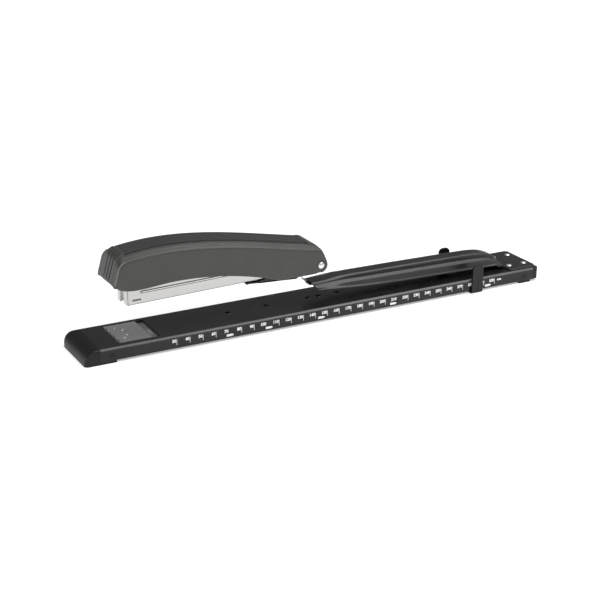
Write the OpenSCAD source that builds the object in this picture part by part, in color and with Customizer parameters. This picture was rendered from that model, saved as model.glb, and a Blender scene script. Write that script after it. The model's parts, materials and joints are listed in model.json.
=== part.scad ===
// Long-arm stapler: a channel base with a printed reach scale, a sliding anvil and a paper stop,
// a sprung arm riveted to the rear of the base, and a stapling head carried by the arm's front end.
//
// X runs along the base towards the rear, Y across it and Z up. The origin is on the table under
// the middle of the base. Lengths along the base are given as reach: the distance behind the line
// where the staples come out.

/* [Base] */
// Length of the base over its two end caps
base_l = 380; // [370:1:400]
// Width of the base
base_w = 44; // [43:0.5:48]
// Height of the base's top face above the table
base_h = 11; // [11:0.25:11.5]
// Gap between the channel's lower edges and the table
base_gap = 1.75; // [1.5:0.25:2.5]
// Sheet thickness of the base channel
base_t = 1.2; // [1:0.1:1.4]
// Outer bend radius of the base channel
base_r = 2.2; // [2:0.1:2.4]
// Distance from the front of the base to the staple line
nose_l = 37.3; // [37:0.1:38]

/* [Anvil] */
// Length of the anvil plate
anvil_l = 24; // [23:0.5:25]
// Width of the anvil plate
anvil_w = 32.6; // [31:0.2:33]
// Travel of the anvil plate from one pair of clinch pockets to the other
anvil_travel = 4; // [3.5:0.1:4.2]

/* [Paper stop] */
// Reach at which the middle of the paper stop stands
stop_reach = 282.6; // [200:0.1:290]
// Width of the paper stop's uprights
stop_w = 9.8; // [8:0.2:12]
// Height of the paper stop's uprights above the table
stop_h = 22.4; // [18:0.2:24]

/* [Arm] */
// Reach of the arm's open front end
arm_front = 145.6; // [145:0.2:147]
// Reach of the arm's rear end, where the flexing leaf begins
arm_rear = 308.7; // [308:0.1:309]
// Half width of the arm at its lower edges
arm_hw = 13.2; // [12:0.1:14]
// Thickness of the arm's sheet
arm_t = 1.4; // [1.2:0.1:1.6]
// Thickness of the leaf that fixes the arm to the base
leaf_t = 1.3; // [1.1:0.1:1.5]

/* [Head] */
// Reach of the rivet on which the handle turns
pivot_x = 147.2; // [147:0.1:147.6]
// Height of the rivet above the table
pivot_z = 42; // [41.8:0.1:42.2]
// Radius of the rivet's shaft
pivot_r = 2.2; // [2:0.1:2.4]
// Half width of the handle
handle_hw = 16.5; // [16.3:0.1:17]
// Wall thickness of the handle
handle_t = 2; // [1.6:0.1:2.2]
// Half width of the magazine
mag_hw = 7.5; // [7.4:0.1:7.6]
// Height of the magazine's side walls at the front
mag_h = 12.2; // [11.8:0.1:12.4]
// Sheet thickness of the magazine
mag_t = 0.8; // [0.7:0.05:0.9]
// Slope of the magazine's floor, rising to the rear, in degrees
mag_tilt = 1.4; // [1.2:0.1:1.6]
// Height of the magazine's floor at the staple line
mag_z = 33.3; // [33.2:0.1:33.6]

/* [Hidden] */
$fn = 48;

staple_x = nose_l - base_l / 2;      // the staple line in the part's own frame
channel_front = -26;                 // reach of the seam between front cap and channel
channel_rear = 338;                  // reach of the channel's rear end
cap_plug_l = 11.7;                   // how far a cap reaches into the channel
fit = 0.2;                           // gap between pieces that stand still against each other
slack = 0.3;                         // gap between pieces that move past each other
run = 0.05;                          // radial clearance of the rivet in the handle

leaf_front = 316.5;                  // reach of the front of the leaf's flat foot
leaf_rear = 341.4;
leaf_hw = 19.5;
leaf_rivet_x = [322, 336.3];
leaf_rivet_y = 10.7;
leaf_rivet_r = 2.4;
leaf_shank_r = 1.5;

ear_in = mag_hw + 0.25;              // inner face of the carrier's ears
ear_t = 1.2;
frame_in = ear_in + ear_t + slack;   // inner face of the handle frame's walls
frame_t = 1;
eye_r = 3.4;                         // round ends of the ears and walls at the rivet

slot_front = 0.85;                   // reach of the front of the slot that the driver runs in
slot_w = 1.35;
stick_front = slot_front + slot_w;   // reach of the foremost staple
stick_l = 60;
crown_z = 8.3;                       // height of the staples' crowns above the magazine's floor line
pusher_l = 12;
rod_z = 4.2;
rod_r = 1.1;
rail_rear = 136;
rail_wall = 1.2;                     // thickness of the walls that close the rail's two ends
spring_pitch = 2.6;
spring_r = 2.1;
spring_wire = 0.4;
floor_l = 143;                       // length of the magazine's floor

// ---------- shared geometry ----------

// Points along a cubic Bezier curve, without the last one
function bezier(p, n) = [for (i = [0:n - 1]) let (t = i / n, s = 1 - t)
    s * s * s * p[0] + 3 * s * s * t * p[1] + 3 * s * t * t * p[2] + t * t * t * p[3]];

// Value at x on the broken line through points [x, value]
function on_line(points, x) = lookup(x, points);

// Places children at their reach, measured from the staple line
module by_reach() { translate([staple_x, 0, 0]) children(); }

// Extrudes a side view, drawn in X and Z, between y0 and y1
module side_view(y0, y1) { translate([0, y1, 0]) rotate([90, 0, 0]) linear_extrude(y1 - y0) children(); }

// Extrudes a cross-section, drawn in Y and Z, from x0 to x1
module cross_section(x0, x1) { translate([x0, 0, 0]) rotate([90, 0, 90]) linear_extrude(x1 - x0) children(); }

// The same piece on both sides of the middle plane
module both_sides() { children(); mirror([0, 1, 0]) children(); }

// Rod along Y through a point of the side view
module cross_rod(x, z, r, y0, y1) { translate([x, y1, z]) rotate([90, 0, 0]) cylinder(y1 - y0, r = r); }

// Rectangle standing on the X axis with its two upper corners rounded
module round_top(w, h, r) {
    translate([-w / 2, 0]) square([w, h - r]);
    translate([-w / 2 + r, 0]) square([w - 2 * r, h]);
    for (s = [-1, 1]) translate([s * (w / 2 - r), h - r]) circle(r);
}

// Rectangle about the origin with all four corners rounded
module round_rect(l, w, r) {
    square([l - 2 * r, w], center = true);
    square([l, w - 2 * r], center = true);
    for (sx = [-1, 1], sy = [-1, 1]) translate([sx * (l / 2 - r), sy * (w / 2 - r)]) circle(r);
}

// Skin over a row of closed rings that all have the same number of points
module skin(rings) {
    n = len(rings[0]);
    last = len(rings) - 1;
    points = [for (ring = rings, p = ring) p];
    sides = [for (i = [0:last - 1], j = [0:n - 1])
        [i * n + j, i * n + (j + 1) % n, (i + 1) * n + (j + 1) % n, (i + 1) * n + j]];
    polyhedron(points, concat(sides, [[for (j = [n - 1:-1:0]) j]], [[for (j = [0:n - 1]) last * n + j]]));
}

// Sheet between two grids of points: rows of outer points and the inner points behind them
module sheet_skin(outer, inner) {
    n = len(outer[0]);
    last = len(outer) - 1;
    back = n * (last + 1);
    points = concat([for (row = outer, p = row) p], [for (row = inner, p = row) p]);
    faces = [for (i = [0:last - 1], j = [0:n - 2]) let (a = i * n + j, b = a + n) [a, a + 1, b + 1, b]];
    near_edge = [for (i = [0:last - 1]) let (a = i * n) [a, a + n, back + a + n, back + a]];
    far_edge = [for (i = [0:last - 1]) let (a = i * n + n - 1) [a + n, a, back + a, back + a + n]];
    front_end = [for (j = [0:n - 2]) [j + 1, j, back + j, back + j + 1]];
    rear_end = [for (j = [0:n - 2]) let (a = last * n + j) [a, a + 1, back + a + 1, back + a]];
    behind = [for (f = faces) [for (k = [3:-1:0]) back + f[k]]];
    polyhedron(points, concat(faces, behind, near_edge, far_edge, front_end, rear_end));
}

// ---------- base ----------

anvil_x = -9.7;                      // reach of the anvil plate's front edge
window_x = [anvil_x - 0.6, anvil_x + anvil_l + anvil_travel + 2.1];
barb_front = [-18, 5.7];             // snap barbs of the caps: reach and height of the middle
barb_rear = [328.6, 5];
barb_size = [4, 3];
hole_x = [80.6, 111.6, 146.6, 155.3, 171.8];
hole_y = 1.8;
hole_r = 2.2;

module barbs(at, size, grow) {
    both_sides() translate([at[0] - size[0] / 2 - grow, base_w / 2 - base_t - fit, at[1] - size[1] / 2 - grow])
        cube([size[0] + 2 * grow, base_t + fit + grow, size[1] + 2 * grow]);
}

module base_channel() color([0.13, 0.13, 0.14]) by_reach() difference() {
    cross_section(channel_front, channel_rear) difference() {
        translate([0, base_gap]) round_top(base_w, base_h - base_gap, base_r);
        round_top(base_w - 2 * base_t, base_h - base_t, base_r - base_t);
    }
    translate([window_x[0], -anvil_w / 2 - slack, base_h - 2 * base_t])
        cube([window_x[1] - window_x[0], anvil_w + 2 * slack, 3 * base_t]);
    for (x = hole_x)
        translate([x, hole_y, base_h - 2 * base_t]) cylinder(3 * base_t, r = hole_r);
    for (x = leaf_rivet_x, y = [-1, 1] * leaf_rivet_y)
        translate([x, y, base_h - 2 * base_t]) cylinder(3 * base_t, r = leaf_shank_r + run);
    barbs(barb_front, barb_size, fit);
    barbs(barb_rear, barb_size, fit);
}

// Hollow plug of an end cap, a close fit inside the channel
module cap_plug(x0, x1) {
    w = base_w - 2 * base_t - 2 * fit;
    h = base_h - base_t - fit;
    wall = 2.2;
    cross_section(x0, x1) difference() {
        round_top(w, h, base_r - base_t);
        translate([-w / 2 + wall, wall]) square([w - 2 * wall, h - 2 * wall]);
    }
}

module front_cap() color([0.16, 0.16, 0.17]) by_reach() {
    r = base_h - 1;
    intersection() {
        cross_section(-nose_l, channel_front - fit / 4) round_top(base_w, base_h, base_r);
        side_view(-base_w, base_w) {
            translate([-nose_l + r, base_h - r]) circle(r);
            translate([-nose_l, 0]) square([r, base_h - r]);
            translate([-nose_l + r, 0]) square([nose_l, base_h]);
        }
        translate([0, 0, -1]) linear_extrude(base_h + 2)
            translate([-nose_l + 20, 0]) round_rect(40, base_w, 3);
    }
    cap_plug(channel_front - fit / 4, channel_front + cap_plug_l);
    translate([channel_front - fit / 4, -base_w / 2, 0]) cube([cap_plug_l, base_w, base_gap - fit]);
    barbs(barb_front, barb_size, 0);
}

module rear_cap() color([0.16, 0.16, 0.17]) by_reach() difference() {
    rear = base_l - nose_l;
    foot = [324.7, 335];
    union() {
        intersection() {
            translate([channel_rear + fit / 4, 0, base_gap]) cross_section(0, rear - channel_rear - fit / 4)
                round_top(base_w, base_h - base_gap, base_r);
            translate([rear - 20, 0, 0]) linear_extrude(base_h + 2) round_rect(40, base_w, 2.5);
        }
        cap_plug(foot[0], channel_rear + fit / 4);
        translate([foot[0], -base_w / 2, 0]) cube([foot[1] - foot[0], base_w, base_gap - fit]);
        barbs(barb_rear, barb_size, 0);
    }
    translate([foot[1], -base_w, -1]) cube([10, 2 * base_w, base_gap + 1]);
    // room for the rivets' tails
    for (x = leaf_rivet_x, y = [-1, 1] * leaf_rivet_y)
        translate([x, y, base_h - base_t - 4]) cylinder(4, r = leaf_rivet_r + 0.8);
}

// Shallow tray under the window that the anvil plate slides in
module anvil_tray() color([0.3, 0.3, 0.31]) by_reach() {
    tray_z = base_h - base_t - 0.1;
    difference() {
        translate([window_x[0] - 3, -anvil_w / 2 - 2, tray_z - 1])
            cube([window_x[1] - window_x[0] + 6, anvil_w + 4, 1]);
        translate([4, 0, tray_z - 2]) cylinder(4, r = 3);
    }
    for (x = [window_x[0] - 1.6, window_x[1] + 1.6], y = [-12, 12])
        translate([x, y, tray_z]) cylinder(0.1, r = 1.2);
}

// ---------- anvil ----------

pocket_r = 1.9;
pocket_depth = 0.55;
inner_pocket = [1.1, 4.3];           // reach and distance from the middle
outer_pocket = [inner_pocket[0] - anvil_travel, 10];

module pockets(at) {
    both_sides() cross_rod(at[0], base_h + pocket_r - pocket_depth, pocket_r, at[1] - 2.3, at[1] + 2.3);
}

module anvil_plate() color([0.78, 0.78, 0.8]) by_reach() {
    difference() {
        translate([anvil_x, -anvil_w / 2, base_h - base_t]) cube([anvil_l, anvil_w, base_t + 0.1]);
        pockets(inner_pocket);
        pockets(outer_pocket);
        both_sides() for (y = [1.6, 9.6])
            translate([anvil_x - 1, y, base_h - base_t - 1]) cube([2, 3.4, 4]);
    }
    // finger tab, curled up at the rear edge on the near side
    edge = anvil_x + anvil_l;
    side_view(-12.6, -4) polygon(concat(
        [[edge - 0.4, base_h - 0.6]],
        bezier([[edge, base_h - 0.6], [edge + 1.2, base_h - 0.4], [edge + 2.2, base_h],
            [edge + 2.4, base_h + 1.4]], 6),
        [[edge + 2.4, base_h + 1.4], [edge + 1.5, base_h + 1.5]],
        bezier([[edge + 1.4, base_h + 1], [edge + 1.1, base_h + 0.5], [edge + 0.6, base_h + 0.1],
            [edge - 0.4, base_h + 0.1]], 6)));
}

// ---------- paper stop ----------

upright_in = base_w / 2 + 0.35;
upright_t = 1.7;

module upright() {
    side_view(upright_in, upright_in + upright_t) {
        translate([-stop_w / 2, 0.4]) square([stop_w, stop_h - 0.4 - 3.6]);
        translate([-stop_w / 2 + 3.6, stop_h - 6]) square([stop_w - 7.2, 6]);
        for (s = [-1, 1]) translate([s * (stop_w / 2 - 3.6), stop_h - 3.6]) circle(3.6);
    }
}

module paper_stop() color([0.15, 0.15, 0.16]) by_reach() translate([stop_reach, 0, 0]) {
    difference() {
        both_sides() upright();
        both_sides() translate([-0.5, upright_in + upright_t - 0.4, 1.5]) cube([1, 1, 9.5]);
    }
    translate([-stop_w / 2 - 1, -upright_in - upright_t, 0.4])
        cube([stop_w + 1, 2 * (upright_in + upright_t), 1]);
}

// Pads inside the stop that grip the channel's edges
module stop_pads() color([0.25, 0.25, 0.25]) by_reach() translate([stop_reach, 0, 0])
    both_sides() translate([-3, upright_in - 0.3, 3]) cube([6, 0.3, 4]);

// ---------- arm ----------

leaf_top = base_h + leaf_t;

// Upper face of the flexing leaf in side view: the flat foot, the rise and the joint with the arm
module neck_profile(x0, x1) {
    rise = concat(
        bezier([[319.4, leaf_top], [316.6, leaf_top], [316, 13.6], [314.6, 15.9]], 8),
        bezier([[314.6, 15.9], [313, 18.4], [310, 21.3], [306, 22.6]], 8));
    under = [for (i = [len(rise) - 1:-1:0]) rise[i] - [leaf_t * 0.78, leaf_t * 0.92]];
    intersection() {
        polygon(concat(rise, [[306, 22.6]], under, [[319.4, base_h]]));
        translate([x0, 0]) square([x1 - x0, 40]);
    }
}

module leaf_foot_outline() {
    translate([(leaf_front + leaf_rear) / 2, 0]) round_rect(leaf_rear - leaf_front, 2 * leaf_hw, 3);
}

module arm_leaf() color([0.14, 0.14, 0.15]) by_reach() {
    neck_hw = 12.4;
    difference() {
        union() {
            translate([0, 0, base_h]) linear_extrude(leaf_t) difference() {
                leaf_foot_outline();
                translate([leaf_front - 1, -neck_hw]) square([6, 2 * neck_hw]);
            }
            side_view(-neck_hw, neck_hw) neck_profile(arm_rear + slack, 320);
        }
        for (x = leaf_rivet_x, y = [-1, 1] * leaf_rivet_y)
            translate([x, y, base_h - 1]) cylinder(4, r = leaf_shank_r + run);
    }
}

module leaf_rivets() color([0.85, 0.85, 0.86]) by_reach()
    for (x = leaf_rivet_x, y = [-1, 1] * leaf_rivet_y) translate([x, y, 0]) {
        translate([0, 0, base_h - base_t - 0.9]) cylinder(leaf_t + base_t + 0.9, r = leaf_shank_r);
        translate([0, 0, base_h - base_t - 0.9]) cylinder(0.8, r = leaf_rivet_r - 0.1);
        translate([0, 0, leaf_top]) intersection() {
            cylinder(0.8, r = leaf_rivet_r);
            translate([0, 0, 0.8 - 4.2]) sphere(4.2);
        }
    }

// Heights along the arm: the central rib, the shoulders beside it and the lower edges
rib_line = [[145.6, 25.1], [156, 25.3], [164, 26.2], [168, 26.7], [176, 27], [220, 26.6], [288, 25.6],
    [297, 24.9], [304, 23.4], [308.7, 21.4]];
shoulder_line = [[145.6, 23.5], [157, 24.05], [168, 24.5], [184, 24.1], [284, 22.3], [302, 21.4],
    [308.7, 19.8]];
// how much closer to the middle the shoulders stand towards the front
taper_line = [[145.6, 1.5], [172, 0], [308.7, 0]];
lip_line = [[145.6, 21.8], [160, 20.4], [184, 18.5], [220, 17], [300, 15.2], [308.7, 14.9]];
arm_stations = [arm_front, 151, 156, 160, 164, 168, 176, 184, 202, 220, 254, 288, 297, 304, arm_rear];

// One half of the sheet's cross-section at reach x, from the lower edge to the middle, d inside it
function arm_half(x, d) = let (rib = on_line(rib_line, x), shoulder = on_line(shoulder_line, x),
    lip = on_line(lip_line, x), taper = on_line(taper_line, x), flank = shoulder - lip,
    low = min(1.4, flank * 0.4), high = min(1.7, flank * 0.6)) [
    [arm_hw - d, lip], [arm_hw - 0.4 - d, lip + low * 0.7 - d * 0.2], [arm_hw - 1.3 - d, lip + low - d * 0.4],
    [arm_hw - 1.6 - taper / 2 - d, shoulder - high - d / 2], [arm_hw - 1.8 - taper - d, shoulder - 0.6 - d / 2],
    [9.4 - taper - d / 2, shoulder + 0.4 - d], [8.4 - taper / 2, shoulder + 0.5 - d],
    [7.2 - d / 4, shoulder + 0.2 - d], [6.4 - d / 3, shoulder + 0.6 - d],
    [5 - d / 3, rib - 0.2 - d], [4.2 - d / 3, rib - d]];

function arm_row(x, d) = let (half = arm_half(x, d), n = len(half) - 1)
    concat([for (p = half) [x, -p[0], p[1]]], [for (i = [n:-1:0]) [x, half[i][0], half[i][1]]]);

module arm() color([0.14, 0.14, 0.15]) by_reach()
    sheet_skin([for (x = arm_stations) arm_row(x, 0)], [for (x = arm_stations) arm_row(x, arm_t)]);

// ---------- carrier: the sprung leaf and the ears that hold the head ----------

carrier_hw = ear_in + ear_t;
carrier_t = 1.1;
root_hw = 3.4;
// the part of the leaf that is welded under the arm's rib, and where it bends with the rib
root_stations = [arm_front - 0.4, 151, 156, 160, 164, 166];
function root_z(x) = on_line(rib_line, x) - arm_t - 0.02;

module carrier_root() color([0.12, 0.12, 0.13]) by_reach() side_view(-root_hw, root_hw)
    polygon(concat([for (x = root_stations) [x, root_z(x)]],
        [for (i = [len(root_stations) - 1:-1:0]) [root_stations[i], root_z(root_stations[i]) - carrier_t]]));

module carrier() color([0.12, 0.12, 0.13]) by_reach() {
    tip = [91.5, 35.2];
    root = [root_stations[0] - slack, root_z(root_stations[0])];
    rise = bezier([root, [142.8, root[1] + 0.2], [141, 32.6], [131, 32.8]], 10);
    // leaf in side view: root, S-bend and tongue
    side_view(-root_hw, root_hw) polygon(concat(rise, [[131, 32.8], [129, 32.9], [129, 32.9 - carrier_t],
        [131, 32.8 - carrier_t]],
        [for (i = [len(rise) - 1:-1:0]) rise[i] - [i == 0 ? 0 : 0.7, carrier_t]]));
    side_view(-carrier_hw, carrier_hw) polygon([[131, 32.8], tip, tip + [-1.4, -0.6], tip + [-0.6, -1.5],
        tip + [1, -carrier_t], [131, 32.8 - carrier_t]]);
    // ears up to the rivet
    both_sides() difference() {
        side_view(ear_in, carrier_hw) {
            polygon([[100, 33.4], [131, 31.8], [140, 36.6], [pivot_x, pivot_z - eye_r],
                [pivot_x, pivot_z + eye_r], [138, 45.4], [108, 36.8], [100, 35]]);
            translate([pivot_x, pivot_z]) circle(eye_r);
        }
        cross_rod(pivot_x, pivot_z, pivot_r, 0, 30);
    }
}

module pivot_rivet() color([0.88, 0.88, 0.9]) by_reach() {
    cross_rod(pivot_x, pivot_z, pivot_r, -handle_hw - 0.4, handle_hw + 0.4);
    both_sides() translate([pivot_x, handle_hw + 0.3, pivot_z]) rotate([-90, 0, 0]) intersection() {
        cylinder(1, r = 2.5);
        translate([0, 0, 1 - 4.2]) sphere(4.2);
    }
}

// ---------- magazine ----------

// Places children in the magazine's own frame: X along its floor, Z up from the floor's underside
module in_magazine() { by_reach() translate([0, 0, mag_z]) rotate([0, -mag_tilt, 0]) children(); }

rivet_in_magazine = let (dx = pivot_x, dz = pivot_z - mag_z, c = cos(mag_tilt), s = sin(mag_tilt))
    [dx * c + dz * s, dz * c - dx * s];
bead_x = [10.5, 88];                 // long pressed bead in each side wall
bead_z = 8.2;

module magazine() color([0.82, 0.82, 0.84]) in_magazine() difference() {
    union() {
        translate([stick_front + 1, -mag_hw, 0]) cube([floor_l - stick_front - 1, 2 * mag_hw, mag_t]);
        both_sides() side_view(mag_hw - mag_t, mag_hw) {
            polygon([[slot_front, 0], [floor_l, 0], rivet_in_magazine - [0, eye_r],
                rivet_in_magazine + [0, eye_r], [120, mag_h - 1], [40, mag_h], [slot_front, mag_h]]);
            translate(rivet_in_magazine) circle(eye_r);
        }
    }
    both_sides() translate([9.7, mag_hw - mag_t - 1, 3]) rotate([-90, 0, 0]) cylinder(4, r = 0.6);
    cross_rod(rivet_in_magazine[0], rivet_in_magazine[1], pivot_r, -30, 30);
    both_sides() side_view(mag_hw - 0.2, mag_hw + 1) {
        translate([bead_x[0], bead_z - 0.9]) square([bead_x[1] - bead_x[0], 1.8]);
        for (x = bead_x) translate([x, bead_z]) circle(0.9);
    }
}

// Folded plate that closes the magazine's front
module nose_plate() color([0.86, 0.86, 0.88]) in_magazine() {
    front = slot_front - 0.7;
    difference() {
        translate([front, -mag_hw, -0.2]) cube([0.65, 2 * mag_hw, mag_h + 3]);
        translate([front - 1, -1, 0]) cube([1.25, 0.8, mag_h + 4]);
        translate([front - 1, -0.6, -1]) cube([3, mag_hw + 1, 2.2]);
        both_sides() translate([front, mag_hw, -1]) rotate([0, 0, 45]) cube([0.5, 0.5, 40], center = true);
    }
}

rail_front = stick_front + 0.1;
rail_hw = 5.5;
rail_h = crown_z - 0.75;
rail_t = 0.7;

// Inverted channel that the staples straddle, closed at both ends and slotted along its roof
module staple_rail() color([0.7, 0.7, 0.72]) in_magazine() {
    foot = mag_t + 0.05;
    inner = rail_hw - rail_t;
    roof_slot = 1.6;
    cross_section(rail_front, rail_rear) difference() {
        translate([-rail_hw, foot]) square([2 * rail_hw, rail_h - foot]);
        translate([-inner, 0]) square([2 * inner, rail_h - rail_t]);
        translate([-roof_slot / 2, 0]) square([roof_slot, rail_h + 1]);
    }
    for (x = [rail_front, rail_rear - rail_wall])
        translate([x, -inner, foot]) cube([rail_wall, 2 * inner, rail_h - foot]);
}

staple_hw = 6.4;

// Stick of staples, glued side by side
module staples() color([0.75, 0.75, 0.76]) in_magazine() {
    wire = 0.5;
    leg = 6;
    cross_section(stick_front + 0.05, stick_front + stick_l) difference() {
        translate([-staple_hw, crown_z - leg]) square([2 * staple_hw, leg]);
        translate([-staple_hw + wire, crown_z - leg - 1]) square([2 * (staple_hw - wire), leg + 1 - wire]);
    }
}

// Rod inside the rail that guides the pusher's spring
module rod() color([0.7, 0.7, 0.7]) in_magazine()
    translate([rail_front + rail_wall, 0, rod_z]) rotate([0, 90, 0])
        cylinder(rail_rear - rail_front - 2 * rail_wall, r = rod_r);

pusher_x = stick_front + stick_l + 0.1;
collar_x = pusher_x + 4;
collar_l = 5;

// Sliding block that pushes the stick forward; it straddles the rail and has a collar on the rod
module pusher() color([0.2, 0.2, 0.2]) in_magazine() {
    guide = 0.15;
    foot = mag_t + slack;
    difference() {
        translate([pusher_x, -staple_hw, foot]) cube([pusher_l, 2 * staple_hw, crown_z + 1.4 - foot]);
        cross_section(pusher_x - 1, pusher_x + pusher_l + 1)
            translate([-rail_hw - guide, 0]) square([2 * (rail_hw + guide), rail_h + guide]);
    }
    // web through the slot in the rail's roof, and the collar that the spring pushes
    difference() {
        translate([collar_x, 0, rod_z]) {
            translate([0, -0.5, 0]) cube([collar_l, 1, crown_z - rod_z]);
            rotate([0, 90, 0]) cylinder(collar_l, r = spring_r + spring_wire);
        }
        translate([collar_x - 1, 0, rod_z]) rotate([0, 90, 0]) cylinder(collar_l + 2, r = rod_r + 0.1);
    }
}

// Spring in the rail between the pusher and the rail's rear wall, drawn as its turns
module pusher_spring() color([0.6, 0.6, 0.62]) in_magazine() {
    first = collar_x + collar_l + 0.15 + spring_wire;
    last = rail_rear - rail_wall - 0.05 - spring_wire;
    for (x = [first:spring_pitch:last]) translate([x, 0, rod_z]) rotate([0, 90, 0])
        rotate_extrude() translate([spring_r, 0]) circle(spring_wire, $fn = 16);
}

// ---------- handle ----------

// Side view of the handle, from the front lower corner over the top and back along the lower edge
top_curve = [[-3, 71.8], [45.2, 80.3], [93.4, 67.3], [141.6, 58.5]];
handle_outline = concat(
    [[-11.8, 51.6]],
    bezier([[-7, 68.4], [-6.2, 71], [-5.4, 71.5], [-3, 71.8]], 5),
    bezier(top_curve, 24),
    bezier([top_curve[3], [147.2, 57.3], [149.8, 50.2], [152, 45.5]], 8),
    [for (a = [35:-20:-90]) [pivot_x + 5.6 * cos(a), pivot_z + 5.8 * sin(a)]],
    [[130, 36], [113, 36]],
    bezier([[110, 36.5], [96, 42], [70, 48.8], [36, 48.8]], 12),
    bezier([[36, 48.8], [24, 48.8], [14, 46.9], [4, 46.9]], 6),
    bezier([[4, 46.9], [-3, 46.9], [-9, 49.4], [-11.2, 51]], 5));

// Cross-section of the handle's top at one point of its curve, with the walls carried far down
function crown_ring(p, d) = let (x = p[0], z = p[1], half = [
    [handle_hw - d, 20], [handle_hw - d, z - 5 - d * 0.6], [handle_hw - 1.9 - d * 0.8, z - 2.9 - d],
    [10.2 - d * 0.5, z - 0.9 - d], [9.8 - d * 0.5, z - d]])
    concat([for (q = half) [x, -q[0], q[1]]], [for (i = [len(half) - 1:-1:0]) [x, half[i][0], half[i][1]]]);

module handle_solid(d) {
    front = [[-20, 68.8], [-10, 70.9]];
    rear = [[148, 57.3], [160, 55.1]];
    curve = concat(front, bezier(top_curve, 16), [top_curve[3]], rear);
    intersection() {
        skin([for (p = curve) crown_ring(p, d)]);
        side_view(-handle_hw - 1, handle_hw + 1) offset(delta = -d) polygon(handle_outline);
        linear_extrude(90) plan_outline(d);
    }
}

// Plan of the handle: a barely bulged front with small round corners
module plan_outline(d) {
    hw = handle_hw - d;
    front = -11.8 + d;
    corner = bezier([[front + 3.2, hw], [front + 1.2, hw], [front + 0.1, hw - 1], [front, hw - 3]], 5);
    bulge = bezier([[front, hw - 3], [front - 0.5, hw / 2], [front - 0.5, -hw / 2], [front, 3 - hw]], 7);
    polygon(concat([[154, -hw], [154, hw]], corner, bulge, [[front, 3 - hw]],
        [for (i = [4:-1:0]) [corner[i][0], -corner[i][1]]]));
}

grip_hw = 9.4;
grip_t = 1;
grip_end = 139;
front_grooves = [-4.6, 0, 4.6];
front_groove_w = 1.6;

// Strip of the handle's top between two depths below the surface
module top_strip(hw, depth) {
    curve = concat(bezier(top_curve, 24), [top_curve[3]]);
    side_view(-hw, hw) polygon(concat(curve, [for (i = [len(curve) - 1:-1:0]) curve[i] - [0, depth]]));
}

module handle_shell() color([0.3, 0.3, 0.3]) by_reach() difference() {
    handle_solid(0);
    handle_solid(handle_t);
    // the underside is open from the front wall to the rear one
    side_view(-handle_hw + handle_t, handle_hw - handle_t)
        polygon([[-9.6, 30], [151.2, 30], [151.2, 44], [104, 44], [90, 50], [60, 54], [-9.6, 54]]);
    cross_rod(pivot_x, pivot_z, 4, -handle_hw + handle_t, handle_hw - handle_t);
    translate([0, 0, 0.4]) top_strip(grip_hw + 0.1, grip_t + 0.5);
    for (y = front_grooves) translate([-12.5, y - front_groove_w / 2, 53.5])
        rotate([0, 16, 0]) cube([2.2, front_groove_w, 25]);
    cross_rod(pivot_x, pivot_z, pivot_r + run, -30, 30);
}

// Ribbed insert along the top of the handle
module handle_grip() color([0.22, 0.22, 0.22]) by_reach() difference() {
    top_strip(grip_hw, grip_t);
    for (y = front_grooves) translate([0, y, 0.3]) top_strip(0.35, 0.7);
    translate([grip_end, -20, 40]) cube([20, 40, 40]);
}

// Steel frame inside the handle: two walls that turn on the rivet, joined by a web
module handle_frame() color([0.6, 0.6, 0.62]) by_reach() difference() {
    union() {
        both_sides() side_view(frame_in, frame_in + frame_t) {
            polygon([[-1, 60.5], [132, 53.5], [pivot_x, pivot_z + eye_r], [pivot_x, pivot_z - eye_r],
                [116, 38.2], [96, 44.5], [60, 51], [-1, 51]]);
            translate([pivot_x, pivot_z]) circle(eye_r);
        }
        side_view(-frame_in - frame_t, frame_in + frame_t)
            polygon([[-1, 60.5], [132, 53.5], [132, 52.3], [-1, 59.3]]);
    }
    cross_rod(pivot_x, pivot_z, pivot_r + run, -30, 30);
}

// Blade that drives the foremost staple; it hangs from the front of the frame
driver_lean = 1.8;                   // so that the blade stands upright halfway through its stroke
driver_t = 0.6;

module driver() color([0.7, 0.7, 0.72]) in_magazine() {
    foot_z = crown_z + 0.5;
    translate([slot_front + 0.42, 0, foot_z]) rotate([0, driver_lean, 0]) {
        translate([0, -6.3, 0]) cube([driver_t, 12.6, 16.8]);
        translate([0, -6.3, 15.8]) cube([6, 12.6, 1]);
    }
}

// Torsion spring round the rivet that lifts the handle after each stroke, drawn as its turns and legs
module return_spring() color([0.6, 0.6, 0.62]) by_reach() {
    coil_r = pivot_r + 0.9;
    wire = 0.45;
    for (y = [-5:1.25:5]) translate([pivot_x, y, pivot_z]) rotate([90, 0, 0])
        rotate_extrude() translate([coil_r, 0]) circle(wire, $fn = 16);
    leg_y = 5 + 2.2 * wire;
    translate([pivot_x, leg_y, pivot_z + coil_r]) rotate([0, -84, 0]) cylinder(20, r = wire);
    translate([pivot_x, -leg_y, pivot_z - coil_r]) rotate([0, -90, 0]) cylinder(20, r = wire);
}

base_channel();
front_cap();
rear_cap();
anvil_tray();
arm_leaf();
leaf_rivets();
anvil_plate();
paper_stop();
stop_pads();
arm();
carrier_root();
carrier();
pivot_rivet();
magazine();
nose_plate();
staple_rail();
staples();
rod();
pusher();
pusher_spring();
handle_shell();
handle_grip();
handle_frame();
driver();
return_spring();
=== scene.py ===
import json
import math
import bmesh
import bpy
from mathutils import Matrix, Vector
from mathutils.geometry import tessellate_polygon


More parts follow.
